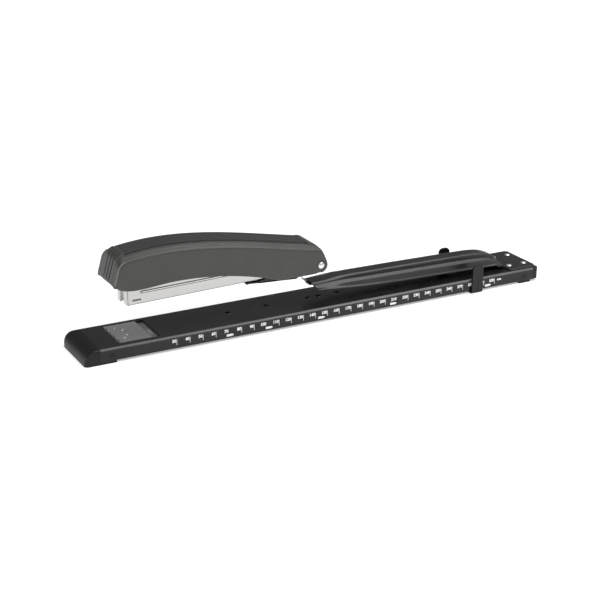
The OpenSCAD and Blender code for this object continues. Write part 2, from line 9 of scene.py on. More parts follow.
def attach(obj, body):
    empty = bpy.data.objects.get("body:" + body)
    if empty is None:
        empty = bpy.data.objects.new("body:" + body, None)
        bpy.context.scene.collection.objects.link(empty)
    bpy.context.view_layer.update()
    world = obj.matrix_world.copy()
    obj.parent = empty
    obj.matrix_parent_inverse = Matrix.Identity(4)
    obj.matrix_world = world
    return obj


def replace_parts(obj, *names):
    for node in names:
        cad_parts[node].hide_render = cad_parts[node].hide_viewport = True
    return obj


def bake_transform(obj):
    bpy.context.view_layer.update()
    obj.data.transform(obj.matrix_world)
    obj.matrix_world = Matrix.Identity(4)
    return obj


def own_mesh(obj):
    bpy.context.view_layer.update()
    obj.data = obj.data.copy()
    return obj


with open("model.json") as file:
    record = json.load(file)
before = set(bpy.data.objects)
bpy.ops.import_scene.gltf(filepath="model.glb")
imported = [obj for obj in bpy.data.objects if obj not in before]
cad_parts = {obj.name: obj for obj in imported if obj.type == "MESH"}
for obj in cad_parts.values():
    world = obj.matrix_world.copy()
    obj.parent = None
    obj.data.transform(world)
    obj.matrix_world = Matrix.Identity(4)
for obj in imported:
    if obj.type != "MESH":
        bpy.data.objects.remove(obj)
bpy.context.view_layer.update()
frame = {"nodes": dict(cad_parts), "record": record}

MM = 0.001
# The staple line stands this far from the origin along X; lengths along the base count from it.
STAPLE_X = -152.7


def at(reach, y, z):
    """A point in the part's frame, in metres, from its reach behind the staple line and its Y and Z in mm."""
    return Vector(((reach + STAPLE_X) * MM, y * MM, z * MM))


# ---------- materials ----------

# Bare metal where paint is worn off edges; the same grey paints a highlight along bends.
BARE_METAL_AND_HIGHLIGHT = (0.3, 0.3, 0.31)
DUST = (0.1, 0.1, 0.105)
# Colour of the painted shade along the edges of plated parts
EDGE_SHADE_COLOUR = (0.12, 0.115, 0.11)


class Shader:
    """A material with its node tree, and short calls that add the nodes used below."""

    def __init__(self, name, **sockets):
        self.material = bpy.data.materials.new(name)
        self.material.use_nodes = True
        self.tree = self.material.node_tree
        self.bsdf = self.tree.nodes["Principled BSDF"]
        self.coords = self.node("ShaderNodeTexCoord").outputs["Object"]
        for socket, value in sockets.items():
            self.bsdf.inputs[socket.replace("_", " ")].default_value = value

    def node(self, kind, **settings):
        made = self.tree.nodes.new(kind)
        for key, value in settings.items():
            setattr(made, key, value)
        return made

    def link(self, source, target):
        self.tree.links.new(source, target)

    def noise(self, scale, detail=4.0, roughness=0.55, stretch=(1, 1, 1)):
        """Noise with features of about 1/scale metres, drawn out along an axis whose stretch is below 1."""
        mapping = self.node("ShaderNodeMapping")
        mapping.inputs["Scale"].default_value = stretch
        self.link(self.coords, mapping.inputs["Vector"])
        made = self.node("ShaderNodeTexNoise")
        made.inputs["Scale"].default_value = scale
        made.inputs["Detail"].default_value = detail
        made.inputs["Roughness"].default_value = roughness
        self.link(mapping.outputs["Vector"], made.inputs["Vector"])
        return made.outputs["Fac"]

    def spread(self, source, low, high, start=0.0, end=1.0):
        """Maps start..end of a value to low..high and clamps it."""
        made = self.node("ShaderNodeMapRange")
        for name, value in (("From Min", start), ("From Max", end), ("To Min", low), ("To Max", high)):
            made.inputs[name].default_value = value
        self.link(source, made.inputs["Value"])
        return made.outputs["Result"]

    def math(self, operation, a, b):
        made = self.node("ShaderNodeMath", operation=operation, use_clamp=True)
        for socket, value in zip(made.inputs, (a, b)):
            if isinstance(value, (int, float)):
                socket.default_value = value
            else:
                self.link(value, socket)
        return made.outputs["Value"]

    def mix(self, factor, a, b):
        """Mixes two colours, or a colour with what is already on a socket."""
        made = self.node("ShaderNodeMix", data_type="RGBA")
        self.link(factor, made.inputs[0])
        for socket, value in ((made.inputs[6], a), (made.inputs[7], b)):
            if isinstance(value, tuple):
                socket.default_value = (*value, 1)
            else:
                self.link(value, socket)
        return made.outputs[2]

    def bump(self, *layers):
        """Adds bumps one on another; each layer is (height, distance in mm, strength)."""
        below = None
        for height, distance, strength in layers:
            made = self.node("ShaderNodeBump")
            made.inputs["Distance"].default_value = distance * MM
            made.inputs["Strength"].default_value = strength
            self.link(height, made.inputs["Height"])
            if below:
                self.link(below, made.inputs["Normal"])
            below = made.outputs["Normal"]
        self.link(below, self.bsdf.inputs["Normal"])

    def edges(self, radius):
        """About 1 on edges sharper than a radius in mm and 0 on flat faces."""
        rounded = self.node("ShaderNodeBevel", samples=4)
        rounded.inputs["Radius"].default_value = radius * MM
        flat = self.node("ShaderNodeNewGeometry").outputs["Normal"]
        dot = self.node("ShaderNodeVectorMath", operation="DOT_PRODUCT")
        self.link(rounded.outputs["Normal"], dot.inputs[0])
        self.link(flat, dot.inputs[1])
        return self.spread(dot.outputs["Value"], 1, 0, 0.86, 0.99)

    def bends(self):
        """About 1 where a sheet bends over from its top to its sides, and 0 on level and upright faces."""
        facing = self.node("ShaderNodeSeparateXYZ")
        self.link(self.node("ShaderNodeTexCoord").outputs["Normal"], facing.inputs[0])
        sideways = self.math("ABSOLUTE", facing.outputs["Y"], 0)
        return self.spread(self.math("MULTIPLY", sideways, facing.outputs["Z"]), 0, 1, 0.12, 0.45)

    def crevices(self, depth):
        """About 1 deep inside grooves narrower than a depth in mm and 0 on open faces; the materials paint
        shade where it is high.
        """
        hidden = self.node("ShaderNodeAmbientOcclusion", samples=6, only_local=True)
        hidden.inputs["Distance"].default_value = depth * MM
        return self.spread(hidden.outputs["AO"], 1, 0, 0.25, 0.8)


def painted_metal(name, colour, roughness=0.32, edge_lightness=0.5, gloss=0.42, bend_highlight=0.0):
    """Satin black paint: a soft orange peel, dust-fine specks, paint worn thin on edges, and a painted
    highlight along bends.
    """
    s = Shader(name, Specular_IOR_Level=gloss, Coat_Weight=0.1, Coat_Roughness=0.18)
    cloud = s.noise(45, 5)
    speck = s.noise(2600, 2)
    edge_lightening = s.math("MULTIPLY", s.edges(0.35), s.spread(s.noise(160, 6, 0.7), 0, edge_lightness, 0.42, 0.66))
    dark = tuple(c * 0.8 for c in colour)
    light = tuple(c * 1.25 + 0.004 for c in colour)
    body = s.mix(s.spread(cloud, 0, 1, 0.35, 0.65), dark, light)
    dusted = s.mix(s.spread(speck, 0, 0.06, 0.64, 0.82), body, DUST)
    # Painted highlight along the bends, mixed with the wear on edges
    wear_and_bend_highlight = s.math("MAXIMUM", edge_lightening, s.math("MULTIPLY", s.bends(), s.spread(cloud, 0.8 * bend_highlight, bend_highlight)))
    s.link(s.mix(wear_and_bend_highlight, dusted, BARE_METAL_AND_HIGHLIGHT), s.bsdf.inputs["Base Color"])
    uneven = s.spread(s.noise(90, 6, 0.65), roughness - 0.06, roughness + 0.09, 0.3, 0.7)
    s.link(uneven, s.bsdf.inputs["Roughness"])
    s.bump((s.noise(420, 3), 0.05, 0.04), (speck, 0.01, 0.05))
    return s.material


def moulded_plastic(name, colour, roughness=0.5, edge_lightness=0.3, edge=0.5, gloss=0.45):
    """Moulded plastic: eroded fine grain, faint flow marks, edges lightened partly by wear and partly as a
    painted highlight, and painted shade in the grooves.
    """
    s = Shader(name, Specular_IOR_Level=gloss)
    cloud = s.noise(30, 5, 0.6)
    fine = s.noise(1500, 3, 0.6)
    flow = s.noise(220, 3, 0.5, (0.15, 1, 1))
    dark = tuple(c * 0.9 for c in colour)
    light = tuple(c * 1.1 for c in colour)
    body = s.mix(s.spread(cloud, 0, 1, 0.3, 0.7), dark, light)
    grained = s.mix(s.spread(fine, 0, 0.35, 0.5, 0.75), body, tuple(c * 1.6 for c in colour))
    corner = s.edges(edge)
    edge_lightening = s.math("MULTIPLY", corner, s.spread(s.noise(120, 6, 0.7), 0.4 * edge_lightness, edge_lightness, 0.35, 0.65))
    # Lightened edges: partly wear, partly a painted highlight on corners
    lightened_edges = s.mix(edge_lightening, grained, tuple(c * 2.6 for c in colour))
    # Painted shade darkens the grooves
    s.link(s.mix(s.crevices(1.2), lightened_edges, tuple(c * 0.12 for c in colour)), s.bsdf.inputs["Base Color"])
    uneven = s.spread(s.noise(70, 5, 0.6), roughness - 0.05, roughness + 0.07, 0.3, 0.7)
    s.link(s.math("SUBTRACT", uneven, s.spread(corner, 0, 0.1)), s.bsdf.inputs["Roughness"])
    s.bump((fine, 0.05, 0.35), (flow, 0.03, 0.12))
    return s.material


def plated_metal(name, colour, roughness=0.16, brushed=(0.04, 1, 1), scratch=0.5, edge_shade=0.3):
    """Bright plated steel: drawing lines, cloudy roughness, scratches, and painted shade along its edges."""
    s = Shader(name, Metallic=1.0)
    lines = s.noise(1800, 3, 0.6, brushed)
    cloud = s.noise(55, 6, 0.65)
    scratches = s.spread(s.noise(700, 2, 0.5, (0.08, 1, 0.5)), 0, scratch, 0.68, 0.74)
    body = s.mix(s.spread(cloud, 0, 1, 0.3, 0.7), tuple(c * 0.93 for c in colour), colour)
    drawn = s.mix(s.spread(lines, 0, 0.25, 0.4, 0.7), body, tuple(c * 0.8 for c in colour))
    # Painted shade: edges are darkened to draw the dark lines of shade at folds, beads and pockets
    edge_shade_mask = s.math("MULTIPLY", s.edges(0.7), s.spread(s.noise(150, 4), 0.75 * edge_shade, edge_shade, 0.3, 0.6))
    s.link(s.mix(edge_shade_mask, drawn, EDGE_SHADE_COLOUR), s.bsdf.inputs["Base Color"])
    rough = s.spread(cloud, roughness - 0.04, roughness + 0.08, 0.3, 0.7)
    s.link(s.math("ADD", rough, s.math("MULTIPLY", scratches, 0.2)), s.bsdf.inputs["Roughness"])
    s.bump((lines, 0.02, 0.12), (scratches, 0.01, 0.2))
    return s.material


def rubber(name, colour):
    """Soft grip material: matt, finely pitted, with a slightly greasy bloom where thumbs rest."""
    s = Shader(name, Specular_IOR_Level=0.35, Sheen_Weight=0.08, Sheen_Roughness=0.5)
    pits = s.noise(1100, 3, 0.6)
    bloom = s.noise(35, 5, 0.6)
    body = s.mix(s.spread(bloom, 0, 1, 0.35, 0.65), tuple(c * 0.85 for c in colour),
                 tuple(c * 1.15 for c in colour))
    # Painted shade darkens the grooves between the ridges
    s.link(s.mix(s.crevices(1.0), body, tuple(c * 0.15 for c in colour)), s.bsdf.inputs["Base Color"])
    s.link(s.spread(bloom, 0.5, 0.72, 0.3, 0.7), s.bsdf.inputs["Roughness"])
    s.bump((pits, 0.05, 0.4))
    return s.material


def ink(name, colour):
    """Pad-printed ink: slightly thin in places, so that the paint below greys it."""
    s = Shader(name, Specular_IOR_Level=0.4)
    thin = s.spread(s.noise(900, 4, 0.7), 0, 0.35, 0.5, 0.8)
    s.link(s.mix(thin, colour, tuple(c * 0.45 for c in colour)), s.bsdf.inputs["Base Color"])
    s.link(s.spread(s.noise(300), 0.4, 0.6), s.bsdf.inputs["Roughness"])
    s.bump((s.noise(1500, 2), 0.01, 0.2))
    return s.material


# The light table's glow, and the half sizes of the patch under the base where the glow is left out, which
# paints shade under the base
FLOOR_GLOW = 0.4
FLOOR_SHADE_PATCH = (0.184, 0.0165)


def floor_material():
    """Pale paper on a light table: a barely visible tooth, shadows that stay light, and painted shade under
    the base, where the glow is left out.
    """
    s = Shader("pale_paper", Specular_IOR_Level=0.1, Emission_Color=(1, 1, 1, 1))
    s.link(s.mix(s.noise(3, 3), (0.71, 0.71, 0.71), (0.75, 0.75, 0.75)), s.bsdf.inputs["Base Color"])
    place = s.node("ShaderNodeSeparateXYZ")
    s.link(s.coords, place.inputs[0])
    outside = [s.math("GREATER_THAN", s.math("ABSOLUTE", place.outputs[axis], 0), limit)
               for axis, limit in (("X", FLOOR_SHADE_PATCH[0]), ("Y", FLOOR_SHADE_PATCH[1]))]
    glow = s.math("MAXIMUM", *outside)
    s.link(s.spread(glow, 0, FLOOR_GLOW), s.bsdf.inputs["Emission Strength"])
    s.bsdf.inputs["Roughness"].default_value = 0.9
    s.bump((s.noise(500, 3), 0.05, 0.1))
    return s.material


# The base and the arm get a painted highlight along their bends, and the plated parts painted shade along
# their edges.
materials = {
    "base_black": painted_metal("base_paint", (0.006, 0.006, 0.0065), 0.28, gloss=0.3, bend_highlight=0.32),
    "arm_black": painted_metal("arm_paint", (0.009, 0.009, 0.0095), 0.38, 0.08, bend_highlight=0.12),
    "carrier_black": painted_metal("carrier_paint", (0.006, 0.006, 0.0065), 0.34),
    "cap_plastic": moulded_plastic("cap_plastic", (0.005, 0.005, 0.0055), 0.42, gloss=0.3),
    "stop_plastic": moulded_plastic("stop_plastic", (0.005, 0.005, 0.0055), 0.4, gloss=0.36),
    "pad_felt": rubber("pad_felt", (0.03, 0.03, 0.03)),
    "anvil_chrome": plated_metal("anvil_plating", (0.75, 0.75, 0.76), 0.32, (1, 0.05, 1), edge_shade=0.95),
    "rivet_steel": plated_metal("rivet_plating", (0.85, 0.85, 0.84), 0.3, (1, 1, 1)),
    "magazine_chrome": plated_metal("magazine_plating", (0.54, 0.535, 0.525), 0.2, edge_shade=0.85),
    "inner_steel": plated_metal("inner_steel", (0.5, 0.5, 0.51), 0.3),
    "staple_wire": plated_metal("staple_wire", (0.6, 0.6, 0.61), 0.25, (1, 0.06, 1)),
    "spring_steel": plated_metal("spring_steel", (0.45, 0.45, 0.46), 0.25, (1, 1, 1)),
    "pusher_plastic": moulded_plastic("pusher_plastic", (0.03, 0.03, 0.03), 0.45),
    # The handle's edges are lightened strongly, a painted highlight on its front corners.
    "handle_grey": moulded_plastic("handle_plastic", (0.045, 0.044, 0.042), 0.4, edge_lightness=0.7, edge=1.3),
    "grip_rubber": rubber("grip_rubber", (0.02, 0.0195, 0.019)),
}

# ---------- shapes ----------

def paint(obj, slot):
    """Gives an object the material of a slot of the record, in all its material slots."""
    obj.data.materials.clear()
    obj.data.materials.append(materials[slot])


def round_edges(obj, bevel, angle):
    """Rounds the edges of an object that are sharper than an angle in degrees, by bevel in mm."""
    rounding = obj.modifiers.new("rounding", "BEVEL")
    rounding.width = bevel * MM
    rounding.segments = 2
    rounding.limit_method = "ANGLE"
    rounding.angle_limit = math.radians(angle)
    return rounding


def finished_copy(node, body, slot, bevel):
    """A copy of a CAD node with its hard edges rounded by a small bevel; it stands for the node."""
    source = frame["nodes"][node]
    mesh = source.data.copy()
    bm = bmesh.new()
    bm.from_mesh(mesh)
    bmesh.ops.remove_doubles(bm, verts=bm.verts, dist=1e-6)
    bmesh.ops.dissolve_limit(bm, angle_limit=math.radians(0.6), verts=bm.verts, edges=bm.edges)
    bm.to_mesh(mesh)
    bm.free()
    obj = bpy.data.objects.new(node + "_finished", mesh)
    bpy.context.scene.collection.objects.link(obj)
    mesh.shade_smooth()
    rounding = round_edges(obj, bevel, 28)
    rounding.use_clamp_overlap = True
    rounding.harden_normals = True
    obj.modifiers.new("normals", "WEIGHTED_NORMAL").keep_sharp = True
    paint(obj, slot)
    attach(obj, body)
    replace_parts(obj, node)
    return obj


def bezier(points, count):
    """Points along a cubic Bezier curve, both ends included."""
    made = []
    for i in range(count + 1):
        t = i / count
        weights = ((1 - t) ** 3, 3 * (1 - t) ** 2 * t, 3 * (1 - t) * t * t, t ** 3)
        made.append(tuple(sum(w * p[k] for w, p in zip(weights, points)) for k in range(len(points[0]))))
    return made


def spaced(points, count):
    """Count points at even steps along a broken line, both ends included."""
    lengths = [0.0]
    for a, b in zip(points, points[1:]):
        lengths.append(lengths[-1] + math.dist(a, b))
    made = []
    k = 0
    for i in range(count):
        want = lengths[-1] * i / (count - 1)
        while k < len(points) - 2 and lengths[k + 1] < want:
            k += 1
        share = (want - lengths[k]) / max(lengths[k + 1] - lengths[k], 1e-9)
        made.append(tuple(p + (q - p) * share for p, q in zip(points[k], points[k + 1])))
    return made


def mesh_object(name, points, faces, slot, body):
    """A mesh piece from points in reach coordinates, in mm; it rides on a body and takes a slot's finish."""
    mesh = bpy.data.meshes.new(name)
    mesh.from_pydata([at(*p) for p in points], [], faces)
    obj = bpy.data.objects.new(name, mesh)
    bpy.context.scene.collection.objects.link(obj)
    paint(obj, slot)
    if body:
        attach(obj, body)
    return obj


def finish_mesh(obj, sharp):
    """Points an object's faces outwards and marks its hard edges."""
    bm = bmesh.new()
    bm.from_mesh(obj.data)
    bmesh.ops.recalc_face_normals(bm, faces=bm.faces)
    bm.to_mesh(obj.data)
    bm.free()
    obj.data.shade_smooth()
    obj.data.set_sharp_from_angle(angle=math.radians(sharp))
    return obj


def smooth(points, steps):
    """A curve through points, with a few steps from each to the next."""
    ends = [points[0], *points, points[-1]]
    made = []
    for a, b, c, d in zip(ends, ends[1:], ends[2:], ends[3:]):
        for i in range(steps):
            t = i / steps
            made.append(tuple(0.5 * (2 * q + (r - p) * t + (2 * p - 5 * q + 4 * r - v) * t * t
                                     + (3 * q - p - 3 * r + v) * t ** 3) for p, q, r, v in zip(a, b, c, d)))
    return made + [tuple(points[-1])]


def on_line(points, x):
    """Value at x on a broken line of (x, value) points, with its corners smoothed over a few mm."""
    total = 0.0
    spots = (-3, -1.5, 0, 1.5, 3)
    for spot in spots:
        k = 0
        while k < len(points) - 2 and points[k + 1][0] < x + spot:
            k += 1
        (x0, v0), (x1, v1) = points[k], points[k + 1]
        total += v0 + (v1 - v0) * (x + spot - x0) / (x1 - x0)
    return total / len(spots)


def sheet_object(name, outer, inner, slot, body):
    """A closed sheet between two grids of points, each a list of equally long rows."""
    rows, columns = len(outer), len(outer[0])
    size = rows * columns
    points = [p for grid in (outer, inner) for row in grid for p in row]
    faces = []
    for i in range(rows - 1):
        for j in range(columns - 1):
            a = i * columns + j
            quad = (a, a + 1, a + columns + 1, a + columns)
            faces += [quad, tuple(size + k for k in reversed(quad))]
    border = (list(range(columns)) + [i * columns + columns - 1 for i in range(1, rows)]
              + [(rows - 1) * columns + j for j in range(columns - 2, -1, -1)]
              + [i * columns for i in range(rows - 2, 0, -1)])
    for a, b in zip(border, border[1:] + border[:1]):
        faces.append((a, b, b + size, a + size))
    return finish_mesh(mesh_object(name, points, faces, slot, body), 45)


def tube_shape(path, radius, sides):
    """Points and faces of a round wire along a path, closed at both ends."""
    points = []
    faces = []
    track = [Vector(p) for p in path]
    side = None
    for i, p in enumerate(track):
        along = (track[min(i + 1, len(track) - 1)] - track[max(i - 1, 0)]).normalized()
        if side is None:
            side = along.orthogonal().normalized()
        side = (side - along * side.dot(along)).normalized()
        other = along.cross(side)
        for k in range(sides):
            angle = 2 * math.pi * k / sides
            points.append(tuple(p + (side * math.cos(angle) + other * math.sin(angle)) * radius))
    for i in range(len(track) - 1):
        for k in range(sides):
            a, b = i * sides + k, i * sides + (k + 1) % sides
            faces.append((a, b, b + sides, a + sides))
    last = (len(track) - 1) * sides
    faces += [tuple(reversed(range(sides))), tuple(range(last, last + sides))]
    return points, faces


def wire_object(name, paths, radius, sides, slot, body):
    """One piece made of round wires, each along its own path."""
    points = []
    faces = []
    for path in paths:
        made, joined = tube_shape(path, radius, sides)
        faces += [tuple(len(points) + k for k in face) for face in joined]
        points += made
    return finish_mesh(mesh_object(name, points, faces, slot, body), 60)


def plate_object(name, outline, y0, y1, slot, body, bevel):
    """A flat plate drawn in side view, from y0 to y1, with its edges rounded by bevel."""
    n = len(outline)
    points = [(x, y, z) for y in (y0, y1) for x, z in outline]
    faces = [(i, (i + 1) % n, n + (i + 1) % n, n + i) for i in range(n)]
    faces += [tuple(range(n)), tuple(reversed(range(n, 2 * n)))]
    obj = finish_mesh(mesh_object(name, points, faces, slot, body), 30)
    round_edges(obj, bevel, 30)
    return obj


slot_of = {part["node"]: part["material_slot"] for part in frame["record"]["subparts"]}
body_of = {node: body for body, nodes in frame["record"]["behaviour"]["bodies"].items() for node in nodes}
for node, obj in frame["nodes"].items():
    paint(obj, slot_of[node])

BEVELS = {
    "base_channel": 0.12, "front_cap": 0.35, "rear_cap": 0.35, "anvil_plate": 0.12, "paper_stop": 0.5,
    "magazine": 0.2, "nose_plate": 0.12, "handle_frame": 0.1, "pivot_rivet": 0.1, "leaf_rivets": 0.1,
    "pusher": 0.2, "staple_rail": 0.1, "driver": 0.05, "anvil_tray": 0.1,
}
for node, bevel in BEVELS.items():
    finished_copy(node, body_of[node], slot_of[node], bevel)

# ---------- details of the base ----------

BASE_HW = 22.0
BASE_TOP = 11.0
BASE_BEND = 2.2
SEAMS = (-26.0, 338.0)
WINDOWS = ((-18.0, 5.7), (328.6, 5.0))
SEAM_HALF_LENGTH = 0.25
WINDOW_HALF = (2.3, 1.7)
BARB_OUTLINE = ((-1.9, -1.1), (0.4, -1.1), (0.9, 0), (0.4, 1.0), (-1.9, 1.0))
SHADOW_GAP = moulded_plastic("shadow_gap", (0.0015, 0.0015, 0.0015), 0.7)


def make_seam(name, reach):
    """Dark gap round the base between the channel and an end cap."""
    proud = 0.02
    half = [(BASE_HW + proud, 1.8)]
    for i in range(9):
        angle = math.radians(90 * i / 8)
        half.append((BASE_HW - BASE_BEND + (BASE_BEND + proud) * math.cos(angle),
                     BASE_TOP - BASE_BEND + (BASE_BEND + proud) * math.sin(angle)))
    line = [(-y, z) for y, z in half] + [(y, z) for y, z in reversed(half)]
    ends = (reach - SEAM_HALF_LENGTH, reach + SEAM_HALF_LENGTH)
    outer = [[(x, y, z) for y, z in line] for x in ends]
    inner = [[(x, y * 0.996, z - 0.09) for y, z in line] for x in ends]
    dark_strip = sheet_object(name, outer, inner, "cap_plastic", "base")
    dark_strip.data.materials[0] = SHADOW_GAP
    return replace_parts(dark_strip, "base_channel")


def make_barb_windows(name, reach, z):
    """Openings in the channel's sides with the caps' snap barbs in them."""
    corners = ((-1, -1), (1, -1), (1, 1), (-1, 1))
    opening = [(reach + i * WINDOW_HALF[0], z + j * WINDOW_HALF[1]) for i, j in corners]
    barb = [(reach + x, z + dz) for x, dz in BARB_OUTLINE]
    for side, label in ((-1, "near"), (1, "far")):
        sides = [sorted((side * (BASE_HW - 0.3), side * (BASE_HW + proud))) for proud in (0.02, 0.05)]
        gap = plate_object(name + "_gap_" + label, opening, *sides[0], "cap_plastic", "base", 0.01)
        gap.data.materials[0] = SHADOW_GAP
        tongue = plate_object(name + "_barb_" + label, barb, *sides[1], "cap_plastic", "base", 0.02)
        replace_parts(gap, "base_channel")
        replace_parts(tongue, "front_cap" if reach < 0 else "rear_cap")


make_seam("front_seam", SEAMS[0])
make_seam("rear_seam", SEAMS[1])
make_barb_windows("front_window", *WINDOWS[0])
make_barb_windows("rear_window", *WINDOWS[1])

# ---------- arm and its leaf ------------------

ARM_FRONT = 145.6
ARM_REAR = 308.7
ARM_HW = 13.2
ARM_SHEET = 1.4
RIB_LINE = ((145.6, 25.1), (156, 25.3), (164, 26.2), (168, 26.7), (176, 27), (220, 26.6), (288, 25.6),
            (297, 24.9), (304, 23.4), (308.7, 21.4))
SHOULDER_LINE = ((145.6, 23.5), (157, 24.05), (168, 24.5), (184, 24.1), (284, 22.3), (300, 21.4), (305, 20.0),
                 (308.7, 17.6))
TAPER_LINE = ((145.6, 1.5), (172, 0), (308.7, 0))
LIP_LINE = ((145.6, 21.8), (160, 20.4), (184, 18.5), (220, 17), (300, 15.2), (308.7, 15.0))
# The arm starts to bend down here, and its front edge leans back below this height
ARM_BEND = 296
FRONT_EDGE_Z = 24.5
FRONT_EDGE_LEAN = 0.7
LEAF_SHEET = 1.3
LEAF_TOP = BASE_TOP + LEAF_SHEET
FOOT_FRONT = 316.5
FOOT_REAR = 341.4
FOOT_HW = 19.5
FOOT_CORNER = 3.0


def arm_half(x, depth):
    """Half of the arm's section at a reach, from the lower edge to the middle, at a depth inside it."""
    lines = (RIB_LINE, SHOULDER_LINE, LIP_LINE, TAPER_LINE)
    rib, shoulder, lip, taper = (on_line(line, x) for line in lines)
    flank = shoulder - lip
    low = min(1.4, flank * 0.4)
    high = min(1.7, flank * 0.6)
    outside = ARM_HW - depth
    edge = [(outside, lip), (outside - 0.3, lip + low * 0.5 - depth * 0.2),
            (outside - 1.1, lip + low * 0.8 - depth * 0.4)]
    bend = [(outside - 1.6 - taper / 2, shoulder - high - depth / 2),
            (outside - 2.0 - taper, shoulder - high / 2 - depth / 2)]
    crest = [(9.8 - taper - depth / 2, shoulder + 0.4 - depth),
             (9.0 - taper - depth / 3, shoulder + 0.5 - depth),
             (8.3 - taper / 2 - depth / 4, shoulder + 0.1 - depth),
             (7.7 - depth / 4, shoulder - 0.7 - depth),
             (7.2 - depth / 4, shoulder - 1.1 - depth),
             (6.7 - depth / 3, shoulder - 0.8 - depth),
             (6.3 - depth / 3, shoulder + 0.4 - depth),
             (5.8 - depth / 3, rib - 0.8 - depth),
             (4.9 - depth / 3, rib - 0.2 - depth),
             (3.7 - depth / 3, rib - depth),
             (0, rib - depth)]
    return smooth(edge + bend + crest, 3)


def mirrored_row(x, half):
    """A full row of points at a reach from half a section that ends in the middle."""
    return [(x, -y, z) for y, z in half] + [(x, y, z) for y, z in reversed(half[:-1])]


def make_arm():
    """The pressed sheet of the arm, between its outer and inner faces."""
    stations = [ARM_FRONT + (ARM_BEND - ARM_FRONT) * i / 30 for i in range(31)]
    stations += [ARM_BEND + (ARM_REAR - ARM_BEND) * i / 10 for i in range(1, 11)]
    outer = [mirrored_row(x, arm_half(x, 0)) for x in stations]
    inner = [mirrored_row(x, arm_half(x, ARM_SHEET)) for x in stations]
    # the front edge leans back towards the lips
    for grid in (outer, inner):
        grid[0] = [(x + max(0, (FRONT_EDGE_Z - z) * FRONT_EDGE_LEAN), y, z) for x, y, z in grid[0]]
    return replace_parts(sheet_object("arm_sheet", outer, inner, "arm_black", "arm_body"), "arm")


def foot_rows():
    """(reach, half width) down the leaf's flat foot, with its round corners."""
    corner = [FOOT_CORNER * math.cos(math.radians(a)) for a in (90, 75, 60, 45, 30, 15, 0)]
    rows = [(FOOT_FRONT + FOOT_CORNER - c, FOOT_HW - FOOT_CORNER + math.sqrt(FOOT_CORNER ** 2 - c * c))
            for c in reversed(corner)]
    rows += [(FOOT_REAR - FOOT_CORNER + math.sqrt(FOOT_CORNER ** 2 - c * c), FOOT_HW - FOOT_CORNER + c)
             for c in reversed(corner)]
    return rows


def make_leaf():
    """The neck, from the arm's rear end down to the foot, and the foot itself."""
    head = arm_half(ARM_REAR, 0)
    count = len(head)
    top = head[-1][1]
    rise = bezier(((306, 22.6), (310, 21.3), (313, 18.4), (314.6, 15.9)), 9)
    rise += bezier(((314.6, 15.9), (316, 13.6), (316.2, LEAF_TOP), (318.6, LEAF_TOP)), 9)[1:]
    outer = []
    inner = []
    for x, z in [(ARM_REAR + 0.02, top)] + [p for p in rise if p[0] > ARM_REAR + 0.4]:
        share = (z - LEAF_TOP) / (top - LEAF_TOP)
        spread_share = 1 - share
        half = []
        for k, (y, level) in enumerate(head):
            flat_y = 12.4 * (1 - k / (count - 1))
            half.append((y + (flat_y - y) * spread_share, LEAF_TOP + (level - LEAF_TOP) * share))
        outer.append(mirrored_row(x, half))
        shift = 3.4 * share * (1 - share)
        inner.append([(px - shift, py, pz - LEAF_SHEET) for px, py, pz in outer[-1]])
    neck = sheet_object("leaf_neck", outer, inner, "arm_black", None)
    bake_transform(neck)
    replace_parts(neck, "arm_leaf")
    foot_tops = []
    for x, width in foot_rows():
        half = [(width, LEAF_TOP - 0.25), (width - 0.08, LEAF_TOP - 0.08), (width - 0.25, LEAF_TOP)]
        half += [(width * share, LEAF_TOP) for share in (0.8, 0.6, 0.4, 0.2, 0.0)]
        foot_tops.append(mirrored_row(x, half))
    floor_rows = [[(x, y, BASE_TOP) for x, y, _ in row] for row in foot_tops]
    foot = sheet_object("leaf_foot", foot_tops, floor_rows, "arm_black", "base")
    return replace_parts(foot, "arm_leaf")


make_arm()
make_leaf()

# ---------- carrier ----------

CARRIER_SHEET = 1.1
CARRIER_STRIP_HW = 3.4
EAR_IN = 7.75
EAR_OUT = 8.95
PIVOT = (147.2, 42.0)
PIVOT_EYE = 3.4


